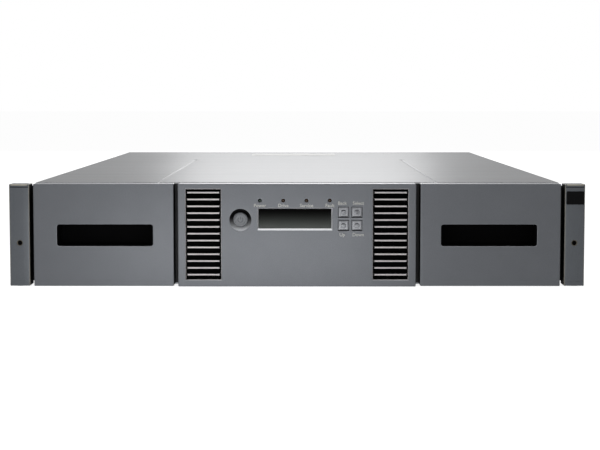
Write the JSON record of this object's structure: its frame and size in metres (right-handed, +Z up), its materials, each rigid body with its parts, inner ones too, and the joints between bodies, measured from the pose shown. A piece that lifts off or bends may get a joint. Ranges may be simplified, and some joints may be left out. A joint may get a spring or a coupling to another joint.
{
  "type": "data tape library",
  "caption": "Two-unit rack-mount tape library: two pull-out cartridge magazines, a control panel with display and keys, and a picker robot, tape drive and power supply inside.",
  "frame": {"origin": "centre of the underside of the whole part's box, on the surface that the chassis rests on", "axes": "+X to the right as seen from the front, +Y from the front to the rear, +Z up"},
  "size_m": [0.4826, 0.7628, 0.0868],
  "materials": {
    "galvanised_steel": "satin galvanised sheet",
    "zinc_steel": "satin zinc plate",
    "front_plastic": "satin metallic grey paint on a moulding",
    "grille_plastic": "satin grey moulding",
    "display_glass": "smoked gloss window",
    "circuit_board": "solder resist",
    "light_pipe": "clear smoked light pipe, unlit",
    "badge_black": "gloss black plate",
    "black_plastic": "fine matt texture",
    "dark_plastic": "fine matt texture",
    "steel_rod": "ground steel",
    "gear_plastic": "natural acetal",
    "solenoid": "taped coil",
    "port_metal": "tinned shield",
    "screw_steel": "zinc plated",
    "magazine_metal": "satin sheet",
    "latch_plastic": "orange acetal",
    "key_plastic": "satin silver-grey keycap",
    "robot_aluminium": "milled and anodised",
    "motor_shell": "black painted motor can",
    "belt_rubber": "toothless rubber belt",
    "picker_plastic": "natural light moulding"
  },
  "bodies": {
    "chassis": {"base_tray": "galvanised_steel", "top_cover": "galvanised_steel", "rear_panel": "galvanised_steel", "front_bulkhead": "galvanised_steel", "front_panel": "front_plastic", "vent_grilles": "grille_plastic", "display_window": "display_glass", "control_board": "circuit_board", "status_lights": "light_pipe", "ear_brackets": "zinc_steel", "ear_covers": "front_plastic", "badge_plate": "badge_black", "magazine_guides": "black_plastic", "travel_rails": "steel_rod", "gear_rack": "gear_plastic", "latch_solenoids": "solenoid", "controller_board": "circuit_board", "controller_plate": "galvanised_steel", "io_ports": "port_metal", "case_screws": "screw_steel"},
    "left_magazine": {"left_magazine_front": "front_plastic", "left_handle_pocket": "black_plastic", "left_magazine_shell": "magazine_metal", "left_slot_dividers": "dark_plastic"},
    "right_magazine": {"right_magazine_front": "front_plastic", "right_handle_pocket": "black_plastic", "right_magazine_shell": "magazine_metal", "right_slot_dividers": "dark_plastic"},
    "left_latch": {"left_latch": "latch_plastic"},
    "right_latch": {"right_latch": "latch_plastic"},
    "power_button": {"power_button": "front_plastic"},
    "cancel_key": {"cancel_key": "key_plastic"},
    "enter_key": {"enter_key": "key_plastic"},
    "previous_key": {"previous_key": "key_plastic"},
    "next_key": {"next_key": "key_plastic"},
    "robot_carriage": {"carriage": "robot_aluminium", "robot_motors": "motor_shell", "lift_belt": "belt_rubber"},
    "travel_pinion": {"travel_pinion": "gear_plastic"},
    "left_lift_screw": {"left_lift_screw": "steel_rod"},
    "right_lift_screw": {"right_lift_screw": "steel_rod"},
    "lift_pulley": {"lift_pulley": "steel_rod"},
    "lift_platform": {"lift_platform": "robot_aluminium", "turn_motor": "motor_shell"},
    "picker": {"picker_frame": "picker_plastic", "barcode_reader": "black_plastic"},
    "gripper": {"gripper": "latch_plastic"},
    "drive_sled": {"drive_sled": "galvanised_steel", "drive_case": "zinc_steel", "drive_mechanism": "robot_aluminium", "drive_ports": "port_metal", "drive_fan_frame": "black_plastic"},
    "drive_door": {"drive_door": "dark_plastic"},
    "drive_fan_rotor": {"drive_fan_rotor": "black_plastic"},
    "left_thumbscrew": {"left_thumbscrew": "screw_steel"},
    "right_thumbscrew": {"right_thumbscrew": "screw_steel"},
    "power_supply": {"psu_case": "galvanised_steel", "power_inlet": "black_plastic", "psu_fan_frame": "black_plastic"},
    "psu_fan_rotor": {"psu_fan_rotor": "black_plastic"}
  },
  "joints": [
    {"name": "left_magazine_slide", "type": "slide", "parent": "chassis", "child": "left_magazine", "axis": [0, -1, 0], "range_m": [0, 0.44]},
    {"name": "right_magazine_slide", "type": "slide", "parent": "chassis", "child": "right_magazine", "axis": [0, -1, 0], "range_m": [0, 0.44]},
    {"name": "left_latch_swing", "type": "hinge", "parent": "chassis", "child": "left_latch", "pos_m": [-0.162, 0.1224, 0.0146], "axis": [0, 0, 1], "range_deg": [0, 9]},
    {"name": "right_latch_swing", "type": "hinge", "parent": "chassis", "child": "right_latch", "pos_m": [0.162, 0.1224, 0.0146], "axis": [0, 0, -1], "range_deg": [0, 9]},
    {"name": "power_button_press", "type": "slide", "parent": "chassis", "child": "power_button", "axis": [0, 1, 0], "range_m": [0, 0.0015], "stiffness_N_per_m": 400},
    {"name": "cancel_key_press", "type": "slide", "parent": "chassis", "child": "cancel_key", "axis": [0, 1, 0], "range_m": [0, 0.001], "stiffness_N_per_m": 400},
    {"name": "enter_key_press", "type": "slide", "parent": "chassis", "child": "enter_key", "axis": [0, 1, 0], "range_m": [0, 0.001], "stiffness_N_per_m": 400},
    {"name": "previous_key_press", "type": "slide", "parent": "chassis", "child": "previous_key", "axis": [0, 1, 0], "range_m": [0, 0.001], "stiffness_N_per_m": 400},
    {"name": "next_key_press", "type": "slide", "parent": "chassis", "child": "next_key", "axis": [0, 1, 0], "range_m": [0, 0.001], "stiffness_N_per_m": 400},
    {"name": "robot_travel", "type": "slide", "parent": "chassis", "child": "robot_carriage", "axis": [0, 1, 0], "range_m": [-0.1644, 0.1644]},
    {"name": "travel_pinion_spin", "type": "hinge", "parent": "robot_carriage", "child": "travel_pinion", "pos_m": [-0.082, -0.0634, 0.0029], "axis": [0, 0, 1], "range_deg": [-1390, 1390]},
    {"name": "robot_lift", "type": "slide", "parent": "robot_carriage", "child": "lift_platform", "axis": [0, 0, 1], "range_m": [0, 0.0464]},
    {"name": "left_lift_screw_turn", "type": "hinge", "parent": "robot_carriage", "child": "left_lift_screw", "pos_m": [-0.064, -0.0694, 0.04], "axis": [0, 0, 1], "range_deg": [-4180, 0]},
    {"name": "right_lift_screw_turn", "type": "hinge", "parent": "robot_carriage", "child": "right_lift_screw", "pos_m": [0.064, -0.1894, 0.04], "axis": [0, 0, 1], "range_deg": [-4180, 0]},
    {"name": "lift_pulley_turn", "type": "hinge", "parent": "robot_carriage", "child": "lift_pulley", "pos_m": [0.082, -0.0634, 0.003], "axis": [0, 0, 1], "range_deg": [-4180, 0]},
    {"name": "picker_turn", "type": "hinge", "parent": "lift_platform", "child": "picker", "pos_m": [0, -0.1294, 0.0097], "axis": [0, 0, 1], "range_deg": [-90, 90]},
    {"name": "gripper_reach", "type": "slide", "parent": "picker", "child": "gripper", "axis": [0, 1, 0], "range_m": [0, 0.06]},
    {"name": "drive_sled_slide", "type": "slide", "parent": "chassis", "child": "drive_sled", "axis": [0, 1, 0], "range_m": [0, 0.2]},
    {"name": "drive_door_swing", "type": "hinge", "parent": "drive_sled", "child": "drive_door", "pos_m": [0, 0.1386, 0.058], "axis": [1, 0, 0], "range_deg": [0, 78]},
    {"name": "drive_fan_spin", "type": "hinge", "parent": "drive_sled", "child": "drive_fan_rotor", "pos_m": [-0.044, 0.3494, 0.054], "axis": [0, 1, 0], "continuous": true},
    {"name": "left_thumbscrew_turn", "type": "hinge", "parent": "drive_sled", "child": "left_thumbscrew", "pos_m": [-0.083, 0.3614, 0.042], "axis": [0, 1, 0], "continuous": true},
    {"name": "right_thumbscrew_turn", "type": "hinge", "parent": "drive_sled", "child": "right_thumbscrew", "pos_m": [0.083, 0.3614, 0.042], "axis": [0, 1, 0], "continuous": true},
    {"name": "power_supply_slide", "type": "slide", "parent": "chassis", "child": "power_supply", "axis": [0, 1, 0], "range_m": [0, 0.19]},
    {"name": "psu_fan_spin", "type": "hinge", "parent": "power_supply", "child": "psu_fan_rotor", "pos_m": [-0.149, 0.3494, 0.0498], "axis": [0, 1, 0], "continuous": true}
  ],
  "couplings": [
    {"joint": "travel_pinion_spin", "follows": "robot_travel", "rad_per_m": -147.06},
    {"joint": "left_lift_screw_turn", "follows": "robot_lift", "rad_per_m": -1570.8},
    {"joint": "right_lift_screw_turn", "follows": "robot_lift", "rad_per_m": -1570.8},
    {"joint": "lift_pulley_turn", "follows": "robot_lift", "rad_per_m": -1570.8}
  ]
}
